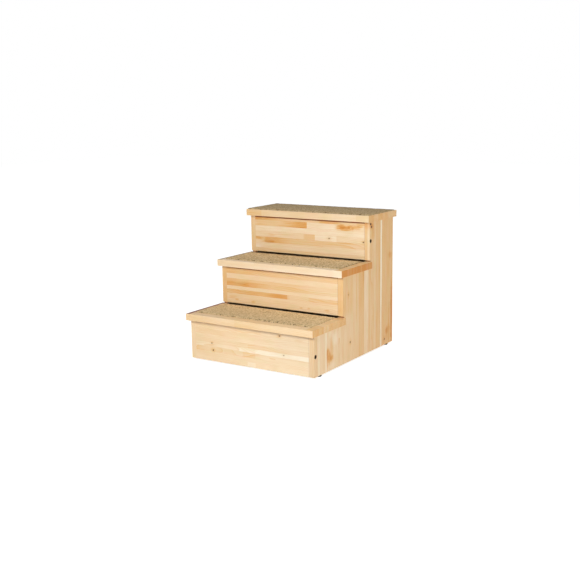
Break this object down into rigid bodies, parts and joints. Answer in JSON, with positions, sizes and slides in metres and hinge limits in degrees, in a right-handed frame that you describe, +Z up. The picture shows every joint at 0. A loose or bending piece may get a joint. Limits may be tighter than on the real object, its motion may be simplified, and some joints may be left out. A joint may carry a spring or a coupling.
{
  "type": "mounting block",
  "caption": "Free-standing stepped mounting block of edge-glued pine, with closed sides, risers and back, overhanging treads and a beige carpet mat on each tread.",
  "frame": {"origin": "on the floor, at the middle of the footprint", "axes": "+X to the right seen from the front, +Y from the front of the lowest step towards the back, +Z up"},
  "size_m": [0.4, 0.455, 0.3845],
  "materials": {
    "side_pine": "satin clear lacquer on edge-glued pine boards standing upright",
    "riser_pine": "satin clear lacquer on finger-jointed pine strips lying level",
    "tread_pine": "satin clear lacquer on edge-glued pine",
    "batten_pine": "sawn and planed, unfinished",
    "plywood": "thin plywood, unfinished",
    "beech": "turned, unfinished",
    "carpet": "short looped pile, cut edges",
    "foot_rubber": "matt",
    "dark_steel": "dark bronzed",
    "zinc_steel": "bright zinc plated"
  },
  "bodies": {
    "root": {"left_side_panel": "side_pine", "right_side_panel": "side_pine", "lower_riser": "riser_pine", "middle_riser": "riser_pine", "upper_riser": "riser_pine", "lower_tread": "tread_pine", "middle_tread": "tread_pine", "upper_tread": "tread_pine", "lower_mat": "carpet", "middle_mat": "carpet", "upper_mat": "carpet", "back_panel": "plywood", "lower_left_batten": "batten_pine", "lower_right_batten": "batten_pine", "middle_left_batten": "batten_pine", "middle_right_batten": "batten_pine", "upper_left_batten": "batten_pine", "upper_right_batten": "batten_pine", "front_left_foot": "foot_rubber", "front_right_foot": "foot_rubber", "rear_left_foot": "foot_rubber", "rear_right_foot": "foot_rubber", "riser_screws": "dark_steel", "riser_dowels": "beech", "tread_dowels": "beech", "batten_screws": "zinc_steel", "tread_screws": "zinc_steel", "back_screws": "zinc_steel", "foot_nails": "zinc_steel"}
  },
  "joints": []
}
